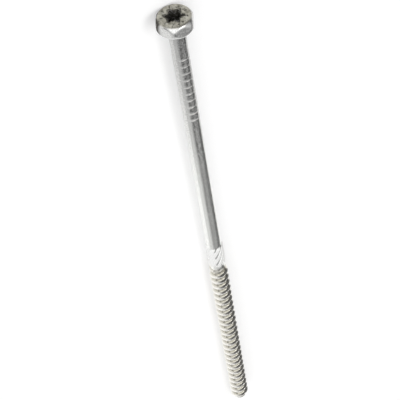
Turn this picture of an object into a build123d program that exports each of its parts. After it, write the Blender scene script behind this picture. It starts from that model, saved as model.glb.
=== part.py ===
"""Construction screw: hexagon head with a six-lobe socket, shank cutter and coarse thread.

Millimetres.  The screw is drawn upright, with Z running from the face of the head to the
end of the thread, then laid as it comes to rest on the level surface Z = 0: on one flat of
its head and on the last thread crest, with the head at -X.
"""
from build123d import *
import os
from math import atan2, ceil, cos, degrees, floor, radians, sin

# ---- head ----
across_flats = 13.0
head_height = 5.9
corner_trim = 0.3          # taken off the corners at mid height, where the head is widest
rim_inset = 0.65           # from the flats in to the rims of the face and of the underside
rim_bevel = 0.8            # height of the steep cone at each rim
shoulder = 0.2             # how far outside the flats that cone ends

# ---- six-lobe socket ----
socket_across_lobes = 6.75
socket_across_flutes = 4.85
lobe_radius = 0.546
socket_depth = 4.2
socket_point = 0.9         # cone below the lobed walls

# ---- neck and shank ----
neck_radius = 3.5
neck_flare = 0.9           # cone between the neck and the underside of the head
neck_length = 8.0
shank_radius = 3.15

# ---- shank cutter, whose steep ribs ream the hole behind the thread ----
cutter_start = 128.0
cutter_length = 11.8
cutter_radius = 3.65
cutter_bevel = 1.0         # length of the cone at each end
rib_count = 8
rib_lead = 34.0
rib_gap = 1.3              # groove between two ribs, at their tops
rib_gap_floor = 0.5
rib_height = 0.42

# ---- thread ----
thread_start = 142.0
thread_rise = 3.0          # length over which the crest rises from the shank
shank_taper = 1.5          # cone from the shank down to the core
thread_radius = 4.0
core_radius = 2.85
pitch = 3.83
ridge_width = 1.3          # of the sharp ridge, along the screw where it stands on the core
thread_phase = 146.0       # angle that the crest is turned by, degrees

# ---- end ----
overall_length = 241.0
end_bevel = 1.3

# ---- what follows from them ----
flat_distance = across_flats / 2
rim_radius = flat_distance - rim_inset
shoulder_radius = flat_distance + shoulder
belly_radius = flat_distance / cos(radians(30)) - corner_trim
rim_taper = degrees(atan2(rim_inset + shoulder, rim_bevel))
end_radius = thread_radius - end_bevel
flank_slope = ridge_width / 2 / (thread_radius - core_radius)

# The crest starts straight above the axis, more than a turn before the thread.
turns_before = 1.5
helix_start = thread_start - turns_before * pitch - pitch * thread_phase / 360
helix_turns = ceil((overall_length - helix_start) / pitch) + 1
last_turn = floor((overall_length - end_bevel - helix_start) / pitch - 0.5)

# The two points that carry the screw, and how far its axis leans towards its end.
head_rest = head_height - rim_bevel
thread_rest = helix_start + (last_turn + 0.5) * pitch
lean = atan2(flat_distance - thread_radius, thread_rest - head_rest)
face_height = flat_distance * cos(lean) + head_rest * sin(lean)
face_x = -(overall_length * cos(lean) + (end_radius - rim_radius) * sin(lean)) / 2
rest_plane = Plane(
    origin=(face_x, 0, face_height),
    x_dir=(sin(lean), 0, cos(lean)),
    z_dir=(cos(lean), 0, -sin(lean)),
)


def on_circle(radius, angle):
    """Point of the XY plane at this radius and angle in degrees."""
    return radius * cos(radians(angle)), radius * sin(radians(angle))


# ---- six-lobe socket: lobes and flutes are arcs that run into each other smoothly ----
lobe_centre = socket_across_lobes / 2 - lobe_radius
flute_floor = socket_across_flutes / 2
half_step = 30
reach = lobe_centre * cos(radians(half_step))
flute_radius = (lobe_centre ** 2 + flute_floor ** 2 - 2 * flute_floor * reach - lobe_radius ** 2) / (
    2 * (lobe_radius - flute_floor + reach)
)
lobe_share = lobe_radius / (lobe_radius + flute_radius)


def tangent_point(lobe_angle, side):
    """Where the lobe at this angle meets the flute beside it (side is -1 or 1)."""
    lobe = Vector(*on_circle(lobe_centre, lobe_angle))
    flute = Vector(*on_circle(flute_floor + flute_radius, lobe_angle + side * half_step))
    return lobe + (flute - lobe) * lobe_share


with BuildPart() as socket:
    with BuildSketch():
        with BuildLine():
            for lobe in range(6):
                angle = lobe * 2 * half_step
                start = tangent_point(angle, -1)
                middle = tangent_point(angle, 1)
                end = tangent_point(angle + 2 * half_step, -1)
                ThreePointArc(start, on_circle(socket_across_lobes / 2, angle), middle)
                ThreePointArc(middle, on_circle(flute_floor, angle + half_step), end)
        make_face()
    extrude(amount=socket_depth)
    with BuildSketch(Plane.XZ):
        with BuildLine():
            Polyline(
                (0, socket_depth - socket_point),
                (flute_floor, socket_depth - socket_point),
                (flute_floor, socket_depth),
                (0, socket_depth + socket_point),
                close=True,
            )
        make_face()
    revolve(axis=Axis.Z)

# ---- groove between two ribs of the shank cutter ----
groove_height = cutter_length + 2 * cutter_bevel
with BuildLine() as groove_path:
    Helix(
        pitch=rib_lead,
        height=groove_height,
        radius=cutter_radius,
        center=(0, 0, cutter_start - cutter_bevel),
    )
groove_plane = Plane(origin=groove_path.line @ 0, x_dir=(1, 0, 0), z_dir=groove_path.line % 0)
groove_slope = (rib_gap - rib_gap_floor) / 2 / rib_height
above = 0.5
with BuildPart() as groove:
    with BuildSketch(groove_plane):
        with BuildLine():
            Polyline(
                (-rib_height, -rib_gap_floor / 2),
                (above, -rib_gap / 2 - above * groove_slope),
                (above, rib_gap / 2 + above * groove_slope),
                (-rib_height, rib_gap_floor / 2),
                close=True,
            )
        make_face()
    sweep(path=groove_path.line, is_frenet=True)

# ---- thread: a ridge wound round the core, trimmed by cones where it starts and ends ----
with BuildLine() as crest_path:
    for half in range(2 * helix_turns):
        base = (0, 0, helix_start + half * pitch / 2)
        add(Edge.make_helix(pitch, pitch / 2, core_radius, center=base).rotate(Axis.Z, 180 * half))
sunk = 0.3
with BuildPart() as ridge:
    with BuildSketch(Plane(origin=(0, 0, helix_start), x_dir=(1, 0, 0), z_dir=(0, -1, 0))):
        with BuildLine():
            Polyline(
                (core_radius - sunk, -ridge_width / 2 - sunk * flank_slope),
                (thread_radius, 0),
                (core_radius - sunk, ridge_width / 2 + sunk * flank_slope),
                close=True,
            )
        make_face()
    sweep(path=crest_path.line, is_frenet=True)

clear = 0.8
rise_slope = (thread_radius - shank_radius) / thread_rise
with BuildPart() as trim:
    with BuildSketch(Plane.XZ):
        with BuildLine():
            Polyline(
                (0, thread_start),
                (shank_radius, thread_start),
                (thread_radius + clear, thread_start + thread_rise + clear / rise_slope),
                (thread_radius + clear, overall_length - end_bevel - clear),
                (end_radius, overall_length),
                (0, overall_length),
                close=True,
            )
        make_face()
    revolve(axis=Axis.Z)

with BuildPart() as thread:
    with BuildSketch(Plane.XY.offset(helix_start - pitch)):
        Circle(core_radius)
    extrude(amount=(helix_turns + 2) * pitch)
    add(ridge.part)
    add(trim.part, mode=Mode.INTERSECT)

# ---- head, neck, shank and cutter collar, then the cuts and the thread ----
cutter_end = cutter_start + cutter_length
with BuildPart() as blank:
    with BuildSketch():
        RegularPolygon(radius=flat_distance, side_count=6, major_radius=False, rotation=30)
    extrude(amount=head_rest)
    with BuildSketch(Plane.XY.offset(head_rest)):
        RegularPolygon(radius=flat_distance, side_count=6, major_radius=False, rotation=30)
    extrude(amount=rim_bevel, taper=rim_taper)
    with BuildSketch(Plane.XZ):
        with BuildLine():
            Polyline(
                (0, 0),
                (rim_radius, 0),
                (shoulder_radius, rim_bevel),
                (belly_radius, head_height / 2),
                (shoulder_radius, head_height - rim_bevel),
                (rim_radius, head_height),
                (0, head_height),
                close=True,
            )
        make_face()
    revolve(axis=Axis.Z, mode=Mode.INTERSECT)

    with BuildSketch(Plane.XZ):
        with BuildLine():
            Polyline(
                (0, head_height / 2),
                (neck_radius + neck_flare, head_height / 2),
                (neck_radius + neck_flare, head_height),
                (neck_radius, head_height + neck_flare),
                (shank_radius, head_height + neck_length),
                (shank_radius, cutter_start),
                (cutter_radius, cutter_start + cutter_bevel),
                (cutter_radius, cutter_end - cutter_bevel),
                (shank_radius, cutter_end),
                (shank_radius, thread_start),
                (core_radius, thread_start + shank_taper),
                (0, thread_start + shank_taper),
                close=True,
            )
        make_face()
    revolve(axis=Axis.Z)

    add(socket.part, mode=Mode.SUBTRACT)
    with PolarLocations(0, rib_count):
        add(groove.part, mode=Mode.SUBTRACT)
    add(thread.part)

with BuildPart(rest_plane) as screw:
    add(blank.part)
screw.part.label = "screw"

os.makedirs("parts", exist_ok=True)
export_step(screw.part, "parts/screw.step")
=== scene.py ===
from math import atan2, cos, pi, radians, sin

import bmesh
import bpy
import numpy as np
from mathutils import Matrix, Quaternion, Vector


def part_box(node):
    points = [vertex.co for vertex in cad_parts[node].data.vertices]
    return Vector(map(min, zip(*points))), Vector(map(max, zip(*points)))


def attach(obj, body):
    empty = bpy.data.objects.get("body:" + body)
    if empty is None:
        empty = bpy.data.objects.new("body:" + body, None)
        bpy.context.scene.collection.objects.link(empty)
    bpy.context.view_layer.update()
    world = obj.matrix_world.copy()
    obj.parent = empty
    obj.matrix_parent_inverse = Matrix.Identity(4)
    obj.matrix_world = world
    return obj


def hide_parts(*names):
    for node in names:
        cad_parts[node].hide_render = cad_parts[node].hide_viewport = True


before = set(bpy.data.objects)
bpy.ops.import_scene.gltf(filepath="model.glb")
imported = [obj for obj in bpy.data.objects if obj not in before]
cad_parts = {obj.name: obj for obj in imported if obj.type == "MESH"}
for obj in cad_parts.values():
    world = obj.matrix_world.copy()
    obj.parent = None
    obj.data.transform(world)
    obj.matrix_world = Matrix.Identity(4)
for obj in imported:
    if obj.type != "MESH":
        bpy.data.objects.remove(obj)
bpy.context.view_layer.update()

MM = 0.001

# ---- sizes of the screw in millimetres, along it from the face of the head ----
HEAD_HEIGHT = 5.9
FLAT_DISTANCE = 6.5
BELLY_RADIUS = 7.2
RIM_RADIUS = 5.85
LOBE_TIP = 3.375
FLUTE_FLOOR = 2.425
LOBE_RADIUS = 0.546
SOCKET_DEPTH = 4.2
SOCKET_POINT = 0.9
NECK_RADIUS = 3.5
NECK_FLARE = 0.9
NECK_END = 13.9
SHANK_RADIUS = 3.15
CUTTER_START = 128.0
CUTTER_END = 139.8
CUTTER_RADIUS = 3.65
CUTTER_BEVEL = 1.0
RIB_COUNT = 8
RIB_LEAD = 34.0
RIB_GAP = 1.3
RIB_GAP_FLOOR = 0.5
RIB_HEIGHT = 0.42
THREAD_START = 142.0
THREAD_RISE = 3.0
SHANK_TAPER = 1.5
THREAD_RADIUS = 4.0
CORE_RADIUS = 2.85
PITCH = 3.83
RIDGE_WIDTH = 1.3
LENGTH = 241.0
END_BEVEL = 1.3
CREST_AT = 138.53
CREST_REST = 236.2
HEAD_REST = 5.1

# ---- shallow rings rolled into the shank below the head ----
RING_START = 19.0
RING_PITCH = 3.47
RING_COUNT = 10
RING_HALF_WIDTH = 0.25
RING_DEPTH = 0.06
RING_LIP = 0.03
LIP_PAST_RING = 0.3
LIP_HALF_WIDTH = 0.2

# ---- short radial marks stamped round the face ----
TICK_COUNT = 9
TICK_RADIUS = 4.6
TICK_LENGTH = 1.0
TICK_WIDTH = 0.4
TICK_DEPTH = 0.12
TICK_EDGE = 0.2
TICK_TURN = 0.3

# ---- edges that are rounded or rolled over ----
ROOT_BLEND = 0.1
CREST_ROUND = 0.05
RIB_ROUND = 0.08
CORNER_ROUND = 0.3
MOUTH_BEVEL = 0.16

# ---- mesh and wear ----
COLUMNS = 120
random = np.random.default_rng(7)
crest_wear = 0.012 * random.random(600) ** 3


def columns_from(first_angle):
    """Angles of the mesh columns round the screw, where 0 is straight up."""
    return 2 * pi * np.arange(COLUMNS) / COLUMNS + first_angle


def soft_min(a, b, radius):
    """The smaller of two radii, rounded where they cross."""
    blend = np.clip(0.5 + 0.5 * (b - a) / radius, 0, 1)
    return b + (a - b) * blend - radius * blend * (1 - blend)


def soft_max(a, b, radius):
    """The larger of two radii, rounded where they cross."""
    return -soft_min(-a, -b, radius)


def six_lobe(angle):
    """Radius of the socket's wall at this angle."""
    lobe_centre = LOBE_TIP - LOBE_RADIUS
    reach = lobe_centre * cos(radians(30))
    flute_radius = (lobe_centre ** 2 + FLUTE_FLOOR ** 2 - 2 * FLUTE_FLOOR * reach - LOBE_RADIUS ** 2) / (
        2 * (LOBE_RADIUS - FLUTE_FLOOR + reach)
    )
    flute_centre = FLUTE_FLOOR + flute_radius
    from_lobe = np.abs((angle + pi / 6) % (pi / 3) - pi / 6)
    from_flute = pi / 6 - from_lobe
    share = LOBE_RADIUS / (LOBE_RADIUS + flute_radius)
    meet_x = lobe_centre + (flute_centre * cos(pi / 6) - lobe_centre) * share
    meet_y = flute_centre * sin(pi / 6) * share
    meet = atan2(meet_y, meet_x)
    lobe_span = np.maximum(LOBE_RADIUS ** 2 - (lobe_centre * np.sin(from_lobe)) ** 2, 0)
    on_lobe = lobe_centre * np.cos(from_lobe) + np.sqrt(lobe_span)
    flute_span = np.maximum(flute_radius ** 2 - (flute_centre * np.sin(from_flute)) ** 2, 0)
    on_flute = flute_centre * np.cos(from_flute) - np.sqrt(flute_span)
    return np.where(from_lobe < meet, on_lobe, on_flute)


def tick(radius, angle):
    """Share of the depth of the short radial marks stamped round the face."""
    turn = angle / (2 * pi) * TICK_COUNT + TICK_TURN
    beside = np.abs((turn + 0.5) % 1 - 0.5) * 2 * pi * radius / TICK_COUNT
    across = np.clip(((TICK_WIDTH + TICK_EDGE) / 2 - beside) / TICK_EDGE, 0, 1)
    from_middle = np.abs(radius - TICK_RADIUS)
    lengthwise = np.clip(((TICK_LENGTH + TICK_EDGE) / 2 - from_middle) / TICK_EDGE, 0, 1)
    return across * lengthwise


def barrel(along):
    """Radius of the head's round belly at this height."""
    bulge = BELLY_RADIUS - RIM_RADIUS
    arc = ((HEAD_HEIGHT / 2) ** 2 + bulge ** 2) / (2 * bulge)
    return BELLY_RADIUS - arc + np.sqrt(arc ** 2 - (along - HEAD_HEIGHT / 2) ** 2)


def hexagon(angle):
    """Radius of the six flats at this angle."""
    from_flat = (angle + pi / 6) % (pi / 3) - pi / 6
    return FLAT_DISTANCE / np.cos(from_flat)


def from_ring(along):
    """Distance past the middle of the nearest ring."""
    nearest = np.clip(np.round((along - RING_START) / RING_PITCH), 0, RING_COUNT - 1)
    return along - RING_START - nearest * RING_PITCH


def ring_lip(along):
    """Share of the lip thrown up on one side of a ring."""
    return np.clip(1 - np.abs(from_ring(along) - LIP_PAST_RING) / LIP_HALF_WIDTH, 0, 1)


def shank(along):
    """Radius of the neck, the ringed shank and the thread's core."""
    stops = [HEAD_HEIGHT + NECK_FLARE, NECK_END, THREAD_START, THREAD_START + SHANK_TAPER]
    radii = [NECK_RADIUS, SHANK_RADIUS, SHANK_RADIUS, CORE_RADIUS]
    radius = np.interp(along, stops, radii)
    groove = np.clip(1 - np.abs(from_ring(along)) / RING_HALF_WIDTH, 0, 1)
    return radius - RING_DEPTH * groove + RING_LIP * ring_lip(along)


def rib_groove(along, angle):
    """Share of the depth between two ribs of the cutter."""
    turn = angle / (2 * pi) - (along - CUTTER_START + CUTTER_BEVEL) / RIB_LEAD
    from_groove = np.abs((turn * RIB_COUNT + 0.5) % 1 - 0.5) * 2 * pi * CUTTER_RADIUS / RIB_COUNT
    side = (RIB_GAP - RIB_GAP_FLOOR) / 2
    return np.clip((RIB_GAP / 2 - from_groove) / side, 0, 1)


def cutter(along, angle):
    """Radius of the ribbed collar that reams the hole."""
    start = CUTTER_START
    stops = [start, start + CUTTER_BEVEL, CUTTER_END - CUTTER_BEVEL, CUTTER_END]
    radii = [SHANK_RADIUS, CUTTER_RADIUS, CUTTER_RADIUS, SHANK_RADIUS]
    collar = np.interp(along, stops, radii, left=0, right=0)
    return soft_min(collar, CUTTER_RADIUS - RIB_HEIGHT * rib_groove(along, angle), RIB_ROUND)


def thread(along, angle):
    """Radius of the thread's ridge, which rises from the shank and ends in a bevel."""
    turn = (along - CREST_AT) / PITCH - angle / (2 * pi)
    from_crest = np.abs((turn + 0.5) % 1 - 0.5) * PITCH
    slope = (THREAD_RADIUS - CORE_RADIUS) / (RIDGE_WIDTH / 2)
    ridge = THREAD_RADIUS - slope * (np.sqrt(from_crest ** 2 + CREST_ROUND ** 2) - CREST_ROUND)
    along_ridge = np.round(turn) + angle / (2 * pi)
    ridge = ridge - np.interp(along_ridge * 20, np.arange(len(crest_wear)), crest_wear)
    rise = SHANK_RADIUS + (along - THREAD_START) * (THREAD_RADIUS - SHANK_RADIUS) / THREAD_RISE
    return np.minimum(ridge, rise)


def body(along, angle):
    """Radius of everything below the head."""
    radius = np.maximum(shank(along), cutter(along, angle))
    radius = soft_max(radius, thread(along, angle), ROOT_BLEND)
    end = THREAD_RADIUS - END_BEVEL + (LENGTH - along)
    return np.minimum(radius, end)


# ---- rows of the mesh: along the screw, radius and angle of each column ----
rows = []


def add_row(along, radius, angle):
    """Adds one row, whose values are either one number or one for each column."""
    shape = np.zeros(COLUMNS)
    rows.append((shape + along, shape + radius, shape + angle))


plain = columns_from(0.0)
socket_wall = six_lobe(plain)
for share in (0.0, 0.35, 0.7, 1.0):
    add_row(SOCKET_DEPTH + SOCKET_POINT * (1 - share), FLUTE_FLOOR * share, plain)
for share in (0.1, 0.6, 1.0):
    add_row(SOCKET_DEPTH, FLUTE_FLOOR + (socket_wall - FLUTE_FLOOR) * share, plain)
for along in (3.9, 2.8, 1.4, 0.4, 0.16):
    add_row(along, socket_wall, plain)
mouth = socket_wall + MOUTH_BEVEL
add_row(0.05, mouth - 0.06, plain)
for share in np.linspace(0, 1, 24):
    radius = mouth + (RIM_RADIUS - 0.3 - mouth) * share
    add_row(TICK_DEPTH * tick(radius, plain), radius, plain)
FACE_ROW = 12
add_row(0.02, RIM_RADIUS - 0.14, plain)
add_row(0.09, RIM_RADIUS - 0.02, plain)
for share in np.linspace(0, 1, 30):
    along = 0.2 + (HEAD_HEIGHT - 0.4) * (0.5 - 0.5 * cos(pi * share))
    add_row(along, soft_min(barrel(along), hexagon(plain), CORNER_ROUND), plain)
add_row(HEAD_HEIGHT - 0.07, barrel(HEAD_HEIGHT - 0.1), plain)
under = NECK_RADIUS + NECK_FLARE
for share in (0.05, 0.5, 1.0):
    add_row(HEAD_HEIGHT, RIM_RADIUS + (under - RIM_RADIUS) * share, plain)
for share in (0.25, 0.5, 0.75):
    turn = share * pi / 2
    add_row(HEAD_HEIGHT + NECK_FLARE * (1 - cos(turn)), under - NECK_FLARE * sin(turn), plain)

shank_rows = list(np.linspace(HEAD_HEIGHT + NECK_FLARE, NECK_END, 6))
for ring in range(RING_COUNT):
    centre = RING_START + ring * RING_PITCH
    shank_rows += [centre + offset for offset in (-1.1, -0.25, -0.1, 0, 0.1, 0.2, 0.3, 0.4, 0.5, 1.1)]
shank_rows += list(np.linspace(shank_rows[-1] + 2, CUTTER_START - 1, 18))
for along in shank_rows:
    add_row(along, body(along, plain), plain)

cutter_rows = np.linspace(CUTTER_START - 0.2, CUTTER_END + 0.2, 44)
for along in cutter_rows:
    columns = columns_from(2 * pi * (along - cutter_rows[0]) / RIB_LEAD)
    add_row(along, body(along, columns), columns)
twisted = rows[-1][2]

# The thread's rows follow the crest: sheared by one pitch a turn, between a wedge at each end.
from_crest = np.array([0.018, 0.045, 0.08, 0.115, 0.15, 0.185, 0.225, 0.28, 0.37])
offsets = np.concatenate([-from_crest[::-1], [0], from_crest, [0.5]])
turn_count = int((LENGTH - CUTTER_END - 0.3) / PITCH)
thread_from = LENGTH - turn_count * PITCH
first_angle = twisted[0]
crest_share = ((CREST_AT - thread_from) / PITCH + first_angle / (2 * pi)) % 1
shares = np.sort((crest_share + offsets) % 1)
per_turn = len(shares)
shares = np.concatenate([[0.0], shares[1:]]) if shares[0] < 0.01 else shares
lift = np.arange(COLUMNS) / COLUMNS
first_thread_row = len(rows)
for share in shares:
    along = thread_from + share * lift * PITCH
    add_row(along, body(along, twisted), twisted)
for turn in range(turn_count - 1):
    for share in shares:
        along = thread_from + (turn + share + lift) * PITCH
        add_row(along, body(along, twisted), twisted)
last_turn = LENGTH - PITCH
for share in shares:
    along = last_turn + (lift + share * (1 - lift)) * PITCH
    add_row(along, body(along, twisted), twisted)
last_thread_row = len(rows)
end_radius = THREAD_RADIUS - END_BEVEL
add_row(LENGTH, end_radius, twisted)
for share in (0.97, 0.6, 0.0):
    add_row(LENGTH, end_radius * share, twisted)


def beside(row):
    """Row that the last column of this row runs into."""
    if first_thread_row <= row < last_thread_row:
        return min(row + per_turn, last_thread_row)
    return row


# ---- the screw's own axes in the frame ----
lowest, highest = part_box("screw")
lean = atan2(FLAT_DISTANCE - THREAD_RADIUS, CREST_REST - HEAD_REST)
axis = Vector((cos(lean), 0, -sin(lean)))
up = Vector((sin(lean), 0, cos(lean)))
side = Vector((0, -1, 0))
face_height = (FLAT_DISTANCE * cos(lean) + HEAD_REST * sin(lean)) * MM
face = Vector((lowest.x + RIM_RADIUS * sin(lean) * MM, 0, face_height))


def masks(along, radius, angle):
    """Where each finish, painted shade and painted highlight lies, from 0 to 1 at each point of the mesh.
    """
    on_head = along < HEAD_HEIGHT
    inside = on_head & (radius < six_lobe(angle) + 0.17) & (np.arange(len(rows)) < FACE_ROW)[:, None]
    # Painted shade down one side of the head, from 74° to 160° round.
    shaded = np.clip(np.minimum(angle - radians(74), radians(160) - angle) / radians(12), 0, 1)
    return {
        "face": np.where(on_head, np.clip(1 - (along - 0.1) / 0.5, 0, 1), 0) * ~inside,
        "side": np.where(on_head & (along > 0.15), shaded, 0),
        "socket": inside * 1.0,
        "mouth": np.where(on_head & (along < 0.2), np.clip(1.17 - radius + six_lobe(angle), 0, 1), 0),
        "tick": np.where(along < 0.2, tick(radius, angle), 0),
        "threaded": np.clip((along - CUTTER_END) / 3, 0, 1),
        "collar": np.clip(np.minimum(along - CUTTER_START, CUTTER_END - 1 - along) + 0.5, 0, 1),
        # The grooves between the ribs on the upper side only, where their painted shade goes.
        "groove": rib_groove(along, angle) * np.clip((np.cos(angle + 0.1) - 0.7) / 0.2, 0, 1),
        # The rings' lips on the upper side only, where their painted highlight goes.
        "ring": ring_lip(along) * np.clip((np.cos(angle + 0.15) - 0.765) / 0.175, 0, 1),
        # Depth of the thread's valleys, where the painted shade goes.
        "valley_shade": np.where(
            along > THREAD_START, np.clip((THREAD_RADIUS - radius) / (THREAD_RADIUS - CORE_RADIUS), 0, 1), 0
        ),
        "head": on_head * 1.0,
        "along": along,
    }


def screw_mesh():
    along, radius, angle = (np.array(values) for values in zip(*rows))
    points = np.array(face) + MM * (
        along[..., None] * np.array(axis)
        + (radius * np.cos(angle))[..., None] * np.array(up)
        + (radius * np.sin(angle))[..., None] * np.array(side)
    )
    faces = []
    for row in range(len(rows) - 1):
        for column in range(COLUMNS):
            here = row * COLUMNS + column
            above = here + COLUMNS
            if column < COLUMNS - 1:
                faces.append((here, here + 1, above + 1, above))
            else:
                faces.append((here, beside(row) * COLUMNS, beside(row + 1) * COLUMNS, above))
    mesh = bpy.data.meshes.new("screw_body")
    mesh.from_pydata(points.reshape(-1, 3).tolist(), [], faces)
    for name, values in masks(along, radius, angle).items():
        mesh.attributes.new(name, "FLOAT", "POINT").data.foreach_set("value", values.ravel())
    work = bmesh.new()
    work.from_mesh(mesh)
    bmesh.ops.remove_doubles(work, verts=work.verts, dist=1e-7)
    bmesh.ops.dissolve_degenerate(work, edges=work.edges, dist=1e-8)
    bmesh.ops.recalc_face_normals(work, faces=work.faces)
    work.to_mesh(mesh)
    work.free()
    mesh.shade_smooth()
    return mesh


screw = bpy.data.objects.new("screw_body", screw_mesh())
bpy.context.scene.collection.objects.link(screw)
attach(screw, "root")
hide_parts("screw")


# ---- materials ----
class Nodes:
    """Adds nodes to one tree and links them."""

    def __init__(self, owner):
        owner.use_nodes = True
        self.tree = owner.node_tree
        self.tree.nodes.clear()

    def put(self, socket, value):
        if isinstance(value, bpy.types.NodeSocket):
            self.tree.links.new(value, socket)
        else:
            socket.default_value = value

    def add(self, kind, inputs=None, **settings):
        made = self.tree.nodes.new(kind)
        for name, value in settings.items():
            setattr(made, name, value)
        for name, value in (inputs or {}).items():
            self.put(made.inputs[name], value)
        return made

    def math(self, operation, first, second=0.0, clamp=False):
        made = self.add("ShaderNodeMath", {0: first, 1: second}, operation=operation, use_clamp=clamp)
        return made.outputs[0]

    def ramp(self, value, low, high, to_low=0.0, to_high=1.0):
        """Value carried smoothly from one range to another."""
        inputs = {"Value": value, "From Min": low, "From Max": high, "To Min": to_low, "To Max": to_high}
        return self.add("ShaderNodeMapRange", inputs, interpolation_type="SMOOTHSTEP").outputs["Result"]

    def blend(self, share, first, second):
        return self.add("ShaderNodeMix", {0: share, 2: first, 3: second}).outputs[0]

    def tint(self, share, first, second):
        """Mix of two colours."""
        inputs = {0: share, 6: first, 7: second}
        return self.add("ShaderNodeMix", inputs, data_type="RGBA").outputs[2]

    def mask(self, name):
        return self.add("ShaderNodeAttribute", attribute_name=name).outputs["Fac"]

    def place(self, stretch=1.0, offset=0.0):
        """Object coordinates in millimetres, stretched along the screw."""
        object_place = self.add("ShaderNodeTexCoord").outputs["Object"]
        inputs = {
            "Vector": object_place,
            "Location": (offset, offset, offset),
            "Scale": (1000 / stretch, 1000, 1000),
        }
        return self.add("ShaderNodeMapping", inputs).outputs[0]

    def noise(self, place, size, detail=3.0, roughness=0.55):
        inputs = {"Vector": place, "Scale": 1 / size, "Detail": detail, "Roughness": roughness}
        return self.add("ShaderNodeTexNoise", inputs).outputs[0]


metal = bpy.data.materials.new("zinc_steel")
zinc = Nodes(metal)
mottle = zinc.noise(zinc.place(), 1.3, 4, 0.6)
grain = zinc.noise(zinc.place(offset=31), 0.55, 3, 0.6)
streak = zinc.noise(zinc.place(stretch=30, offset=7), 0.8, 3, 0.6)
blotch = zinc.noise(zinc.place(offset=53), 2.6, 3, 0.6)
face_mask = zinc.mask("face")
socket_mask = zinc.mask("socket")
mouth_mask = zinc.mask("mouth")
side_mask = zinc.mask("side")
tick_mask = zinc.mask("tick")
threaded = zinc.mask("threaded")
collar = zinc.mask("collar")
groove = zinc.mask("groove")
ring = zinc.mask("ring")
valley_shade = zinc.mask("valley_shade")
head = zinc.mask("head")
along_screw = zinc.mask("along")

# Bright zinc: duller towards the head, a little warmer on the thread.
grey = zinc.tint(head, (0.55, 0.55, 0.54, 1), (0.66, 0.66, 0.65, 1))
colour = zinc.tint(zinc.ramp(along_screw, 10, 105), grey, (0.9, 0.905, 0.88, 1))
colour = zinc.tint(threaded, colour, (0.98, 0.965, 0.925, 1))
# Painted shade in the thread's valleys: darker towards the core.
colour = zinc.tint(zinc.ramp(valley_shade, 0.1, 0.9), colour, (0.62, 0.6, 0.53, 1))

# Dull grey bloom in specks and lengthwise patches, thinner on the thread.
lines = zinc.blend(head, streak, mottle)
patchy = zinc.math("ADD", zinc.math("MULTIPLY", grain, 0.65), zinc.math("MULTIPLY", lines, 0.35))
bloom = zinc.ramp(patchy, 0.43, 0.58, 0.1, 1.0)
bloom_share = zinc.blend(threaded, zinc.ramp(along_screw, 40, 100, 0.34, 0.22), 0.1)
bloom = zinc.math("MULTIPLY", bloom, bloom_share)

# Worn lips of the rings, rougher, and painted lighter on the upper side as a highlight.
lip_wear_and_highlight = zinc.math("MULTIPLY", ring, zinc.ramp(mottle, 0.38, 0.6))
colour = zinc.tint(zinc.math("MULTIPLY", lip_wear_and_highlight, 0.8), colour, (0.86, 0.8, 0.77, 1))

# Grey-brown film on the face, with darker dirt in its marks and spots, and painted shade down one side of
# the head.
film_tone = zinc.ramp(blotch, 0.38, 0.62)
film = zinc.tint(film_tone, (0.27, 0.26, 0.215, 1), (0.48, 0.465, 0.40, 1))
film_share = zinc.math("MULTIPLY", face_mask, zinc.ramp(mottle, 0.25, 0.42), clamp=True)
colour = zinc.tint(film_share, colour, film)
speck = zinc.noise(zinc.place(offset=90), 0.75, 3, 0.65)
spots = zinc.math("MULTIPLY", zinc.ramp(speck, 0.56, 0.66), face_mask)
in_marks = zinc.math("MULTIPLY", tick_mask, zinc.ramp(mottle, 0.3, 0.45))
dirt_and_shade = zinc.math("MAXIMUM", spots, in_marks)
head_side_shade = zinc.math("MULTIPLY", side_mask, zinc.ramp(mottle, 0.2, 0.5))
dirt_and_shade = zinc.math("MAXIMUM", dirt_and_shade, head_side_shade)

# Grime and painted shade packed dark in the socket, grime smeared over its edge, rubbed through in places.
smear = zinc.ramp(zinc.math("ADD", mouth_mask, zinc.math("MULTIPLY", speck, 1.6)), 1.05, 1.3)
smear = zinc.math("MULTIPLY", smear, zinc.ramp(mouth_mask, 0.0, 0.2))
rubbed = zinc.ramp(zinc.noise(zinc.place(offset=120), 0.9, 2, 0.5), 0.5, 0.6, 1.0, 0.25)
socket_grime_and_shade = zinc.math("MULTIPLY", zinc.math("MAXIMUM", smear, socket_mask), rubbed)
dirt_and_shade = zinc.math("MAXIMUM", dirt_and_shade, socket_grime_and_shade, clamp=True)
# Dirt, and painted shade on the head's side and in the socket, all in one near-black.
colour = zinc.tint(dirt_and_shade, colour, (0.055, 0.052, 0.042, 1))

# Ribs of the cutter, painted near white as a highlight, with painted shade in the grooves on the upper
# side.
ribs = zinc.math("MULTIPLY", collar, zinc.ramp(groove, 0.7, 0.2))
colour = zinc.tint(zinc.math("MULTIPLY", ribs, 0.95), colour, (0.97, 0.97, 0.96, 1))
between = zinc.math("MULTIPLY", collar, zinc.ramp(groove, 0.3, 0.9))
colour = zinc.tint(zinc.math("MULTIPLY", between, 0.4), colour, (0.4, 0.4, 0.39, 1))

dull = zinc.math("MAXIMUM", zinc.math("MULTIPLY", dirt_and_shade, 0.8), zinc.math("MULTIPLY", ribs, 0.7))
dull = zinc.math("MAXIMUM", dull, bloom)
dull = zinc.math("MAXIMUM", dull, zinc.math("MULTIPLY", lip_wear_and_highlight, 0.4))
metallic = zinc.math("SUBTRACT", 1.0, dull, clamp=True)
roughness = zinc.ramp(patchy, 0.35, 0.65, 0.14, 0.26)
roughness = zinc.blend(threaded, roughness, 0.2)
roughness = zinc.blend(face_mask, roughness, 0.42)
roughness = zinc.blend(ribs, roughness, 0.55)
roughness = zinc.blend(lip_wear_and_highlight, roughness, 0.5)
roughness = zinc.blend(dirt_and_shade, roughness, 0.7)

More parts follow.
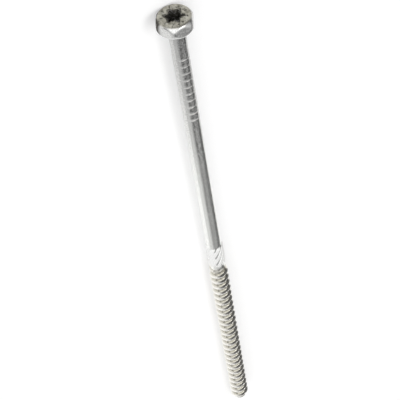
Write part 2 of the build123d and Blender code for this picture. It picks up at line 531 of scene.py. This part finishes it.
height = zinc.math("ADD", zinc.math("MULTIPLY", mottle, 0.3), zinc.math("MULTIPLY", grain, 0.12))
streak_share = zinc.blend(zinc.math("MAXIMUM", threaded, head), 0.15, 0.0)
height = zinc.math("ADD", height, zinc.math("MULTIPLY", streak, streak_share))
bump = zinc.add("ShaderNodeBump", {"Strength": 0.6, "Distance": 0.00002, "Height": height})
shader = zinc.add("ShaderNodeBsdfPrincipled", {
    "Base Color": colour,
    "Metallic": metallic,
    "Roughness": roughness,
    "Normal": bump.outputs[0],
})
zinc.add("ShaderNodeOutputMaterial", {"Surface": shader.outputs[0]})
screw.data.materials.append(metal)

# ---- floor, as bright to the camera and in the metal's reflections as white paper ----
paper = bpy.data.materials.new("pale_floor")
sheet = Nodes(paper)
path = sheet.add("ShaderNodeLightPath")
seen = sheet.math("MAXIMUM", path.outputs["Is Camera Ray"], path.outputs["Is Glossy Ray"])
seen = sheet.math("MAXIMUM", seen, path.outputs["Is Transmission Ray"])
glow = sheet.add("ShaderNodeEmission", {"Strength": sheet.math("MULTIPLY", seen, 0.3)})
lit = sheet.add("ShaderNodeBsdfDiffuse", {"Color": (0.8, 0.8, 0.8, 1)})
both = sheet.add("ShaderNodeAddShader", {0: lit.outputs[0], 1: glow.outputs[0]})
sheet.add("ShaderNodeOutputMaterial", {"Surface": both.outputs[0]})

bpy.ops.mesh.primitive_plane_add(size=6)
floor = bpy.context.object
floor.name = "floor"
floor.data.materials.append(paper)

# ---- light: a bright ceiling, a pale wall on one side of the screw and a dark room on the other ----
DARK_ROOM = 0.1
KEY_DISTANCE = 1.2
KEY_RADIANCE = 3.2
world = bpy.data.worlds.new("room")
bpy.context.scene.world = world
room = Nodes(world)
direction = room.add("ShaderNodeTexCoord").outputs["Generated"]
heading = room.add("ShaderNodeSeparateXYZ", {0: direction}).outputs


def pointing(azimuth, elevation):
    """Unit direction, with both angles in degrees."""
    level = cos(radians(elevation))
    return (cos(radians(azimuth)) * level, sin(radians(azimuth)) * level, sin(radians(elevation)))


def glow_at(below, azimuth, elevation, inner, outer, strength):
    """The light below, with a soft round glow laid over it."""
    inputs = {0: direction, 1: pointing(azimuth, elevation)}
    closeness = room.add("ShaderNodeVectorMath", inputs, operation="DOT_PRODUCT").outputs["Value"]
    share = room.ramp(room.math("ARCCOSINE", closeness), radians(outer), radians(inner))
    return room.blend(share, below, strength)


across = room.math("SUBTRACT", heading["Y"], room.math("MULTIPLY", heading["X"], 0.078))
dark_room = glow_at(DARK_ROOM, 80, 62, 24, 50, 0.88)
wall = room.ramp(heading["Z"], 0.3, 0.65, 0.87, 0.62)
radiance = room.blend(room.ramp(across, -0.23, -0.57), dark_room, wall)
radiance = room.blend(room.ramp(heading["Z"], 0.76, 1.14), radiance, 1.65)
radiance = glow_at(radiance, 0, 11, 11, 33, 1.18)
radiance = glow_at(radiance, -118, 52, 15, 46, 2.15)
radiance = glow_at(radiance, -85, 4, 7, 20, 0.2)
seen = room.blend(room.add("ShaderNodeLightPath").outputs["Is Camera Ray"], radiance, 1.0)
background = room.add("ShaderNodeBackground", {"Strength": seen})
room.add("ShaderNodeOutputWorld", {"Surface": background.outputs[0]})

middle = (lowest + highest) / 2
to_key = Vector((-0.42, 0.3, 1.0)).normalized()
key_light = bpy.data.lights.new("key", "AREA")
key_light.shape = "RECTANGLE"
key_light.size = 0.8
key_light.size_y = 0.35
key_light.energy = KEY_RADIANCE * key_light.size * key_light.size_y * pi
key = bpy.data.objects.new("key", key_light)
bpy.context.scene.collection.objects.link(key)
key.location = middle + to_key * KEY_DISTANCE
key.rotation_euler = (-to_key).to_track_quat("-Z", "X").to_euler()

# ---- camera ----
CAMERA_AZIMUTH = -163.27
CAMERA_ELEVATION = 37.81
CAMERA_DISTANCE = 0.5993
CAMERA_ROLL = 143.35
camera = bpy.data.objects.new("camera", bpy.data.cameras.new("camera"))
bpy.context.scene.collection.objects.link(camera)
camera.data.lens = 135
camera.data.sensor_width = 36
aim = Vector((-0.0156, -0.0005, 0))
flat = cos(radians(CAMERA_ELEVATION))
towards = Vector((
    cos(radians(CAMERA_AZIMUTH)) * flat,
    sin(radians(CAMERA_AZIMUTH)) * flat,
    sin(radians(CAMERA_ELEVATION)),
))
camera.location = aim + towards * CAMERA_DISTANCE
camera.rotation_mode = "QUATERNION"
roll = Quaternion((0, 0, 1), radians(CAMERA_ROLL))
camera.rotation_quaternion = (-towards).to_track_quat("-Z", "Y") @ roll
bpy.context.scene.camera = camera

bpy.context.scene.view_settings.view_transform = "Standard"
